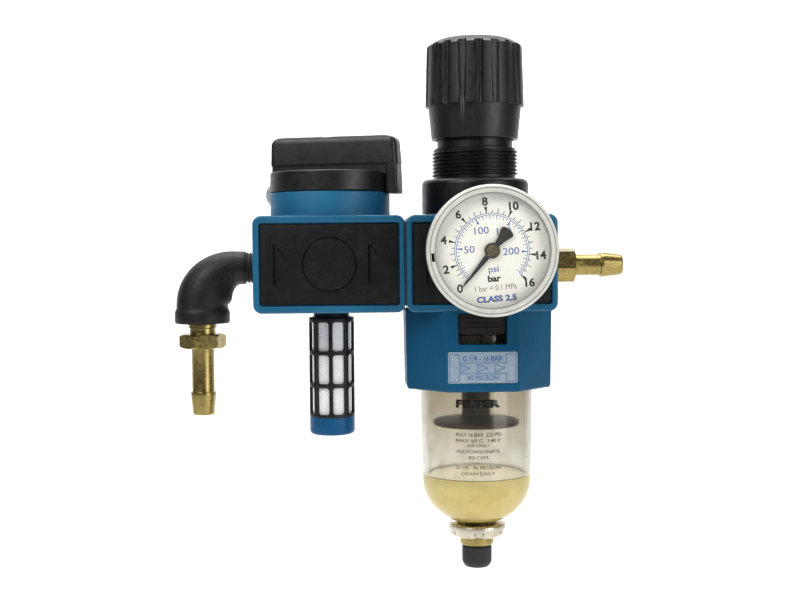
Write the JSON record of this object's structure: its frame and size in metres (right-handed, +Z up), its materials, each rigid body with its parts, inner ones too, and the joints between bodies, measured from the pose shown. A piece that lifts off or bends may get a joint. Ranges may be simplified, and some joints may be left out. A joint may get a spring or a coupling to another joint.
{
  "type": "air pressure regulator",
  "caption": "Compressed-air service unit: manual on-off valve with silencer, and filter regulator with adjusting knob, gauge, clear bowl and drain, between hose barbs.",
  "frame": {"origin": "centre of the four rear mounting holes, on the rear mounting face", "axes": "+Z up along the bowl and knob axes, -Y out of the front where the gauge is, +X along the flow from inlet to outlet"},
  "size_m": [0.1888, 0.083, 0.223],
  "materials": {
    "blue_paint": "satin die-cast",
    "turret_blue": "satin",
    "guard_blue": "satin",
    "black_panel": "fine grained",
    "black_knob": "fine grained",
    "cage_black": "moulded",
    "cap_blue": "moulded",
    "porous_white": "sintered, porous",
    "black_iron": "malleable iron, oiled",
    "brass": "turned, tarnished",
    "steel": "zinc plated",
    "rotor_plastic": "moulded acetal",
    "nitrile": "smooth",
    "alloy": "turned",
    "nut_alloy": "die-cast, dull",
    "label_print": "printed film",
    "baffle_dark": "moulded",
    "bowl_clear": "clear polycarbonate, slightly yellowed",
    "drain_black": "moulded",
    "gauge_steel": "black enamel",
    "lens_clear": "clear moulded plastic",
    "dial_ivory": "printed",
    "pointer_black": "satin"
  },
  "bodies": {
    "housings": {"valve_body": "blue_paint", "valve_turret": "turret_blue", "spindle_seal": "nitrile", "spindle_bush": "brass", "turret_screws": "steel", "valve_front_panel": "black_panel", "post_screw": "steel", "detent_spring": "steel", "detent_ball": "steel", "silencer_cage": "cage_black", "silencer_element": "porous_white", "silencer_cap": "cap_blue", "inlet_elbow": "black_iron", "inlet_barb": "brass", "outlet_barb": "brass", "joint_gasket": "nitrile", "joining_studs": "steel", "regulator_body": "blue_paint", "regulator_front_panel": "black_panel", "rear_port_plug": "steel", "bonnet": "black_knob", "main_spring": "steel", "diaphragm": "nitrile", "diaphragm_plate": "alloy", "relief_bush": "brass", "valve_seat": "brass", "valve_guide": "rotor_plastic", "return_spring": "steel", "filter_guard": "guard_blue", "guard_screws": "steel", "label_plate": "label_print", "latch_spring": "steel", "swirl_vane": "rotor_plastic", "filter_stud": "brass", "filter_element": "porous_white", "baffle": "baffle_dark", "gauge_case": "gauge_steel", "gauge_stem": "brass", "gauge_lens": "lens_clear", "gauge_dial": "dial_ivory", "movement_frame": "brass", "bourdon_tube": "brass"},
    "valve_knob_group": {"valve_rotor": "rotor_plastic", "rotor_seals": "nitrile", "valve_knob": "black_knob", "knob_screw": "steel"},
    "adjusting_spindle_group": {"adjusting_spindle": "steel", "spindle_clip": "steel"},
    "adjusting_knob_group": {"adjusting_knob": "black_knob"},
    "spring_nut_group": {"spring_nut": "steel"},
    "valve_stem_group": {"valve_stem": "brass"},
    "pointer_group": {"gauge_pointer": "pointer_black", "pointer_arbor": "brass"},
    "sector_group": {"gauge_sector": "brass"},
    "latch_group": {"bowl_latch": "black_knob"},
    "bowl_group": {"bowl": "bowl_clear", "bowl_seal": "nitrile", "drain_nut": "nut_alloy", "drain_body": "brass"},
    "drain_knob_group": {"drain_knob": "drain_black"}
  },
  "joints": [
    {"name": "valve_knob_turn", "type": "hinge", "parent": "housings", "child": "valve_knob_group", "pos_m": [-0.0305, -0.028, 0.035], "axis": [0, 0, 1], "range_deg": [-73, 17]},
    {"name": "spindle_turn", "type": "hinge", "parent": "housings", "child": "adjusting_spindle_group", "pos_m": [0.0305, -0.028, 0.062], "axis": [0, 0, 1], "range_deg": [-2160, 0]},
    {"name": "adjusting_knob_lift", "type": "slide", "parent": "adjusting_spindle_group", "child": "adjusting_knob_group", "axis": [0, 0, 1], "range_m": [-0.0032, 0]},
    {"name": "spring_nut_travel", "type": "slide", "parent": "housings", "child": "spring_nut_group", "axis": [0, 0, 1], "range_m": [-0.0092, 0], "deforming": ["main_spring"]},
    {"name": "valve_stem_travel", "type": "slide", "parent": "housings", "child": "valve_stem_group", "axis": [0, 0, 1], "range_m": [-0.0015, 0], "stiffness_N_per_m": 400, "springref_m": 0.001, "deforming": ["return_spring"]},
    {"name": "pointer_turn", "type": "hinge", "parent": "housings", "child": "pointer_group", "pos_m": [0.032, -0.079, 0.0065], "axis": [0, 1, 0], "range_deg": [0, 270], "stiffness_Nm_per_rad": 0.0005},
    {"name": "sector_turn", "type": "hinge", "parent": "housings", "child": "sector_group", "pos_m": [0.032, -0.072, -0.0061], "axis": [0, 1, 0], "range_deg": [-50, 0]},
    {"name": "bowl_latch_slide", "type": "slide", "parent": "housings", "child": "latch_group", "axis": [0, 0, 1], "range_m": [-0.0025, 0], "stiffness_N_per_m": 300, "springref_m": 0.001, "deforming": ["latch_spring"]},
    {"name": "bowl_removal", "type": "slide", "parent": "housings", "child": "bowl_group", "axis": [0, 0, 1], "range_m": [-0.07, 0]},
    {"name": "drain_knob_turn", "type": "hinge", "parent": "bowl_group", "child": "drain_knob_group", "pos_m": [0.0305, -0.028, -0.1225], "axis": [0, 0, 1], "range_deg": [0, 360]}
  ],
  "couplings": [
    {"joint": "spring_nut_travel", "follows": "spindle_turn", "m_per_rad": 0.00023873},
    {"joint": "sector_turn", "follows": "pointer_turn", "ratio": -0.17757}
  ]
}
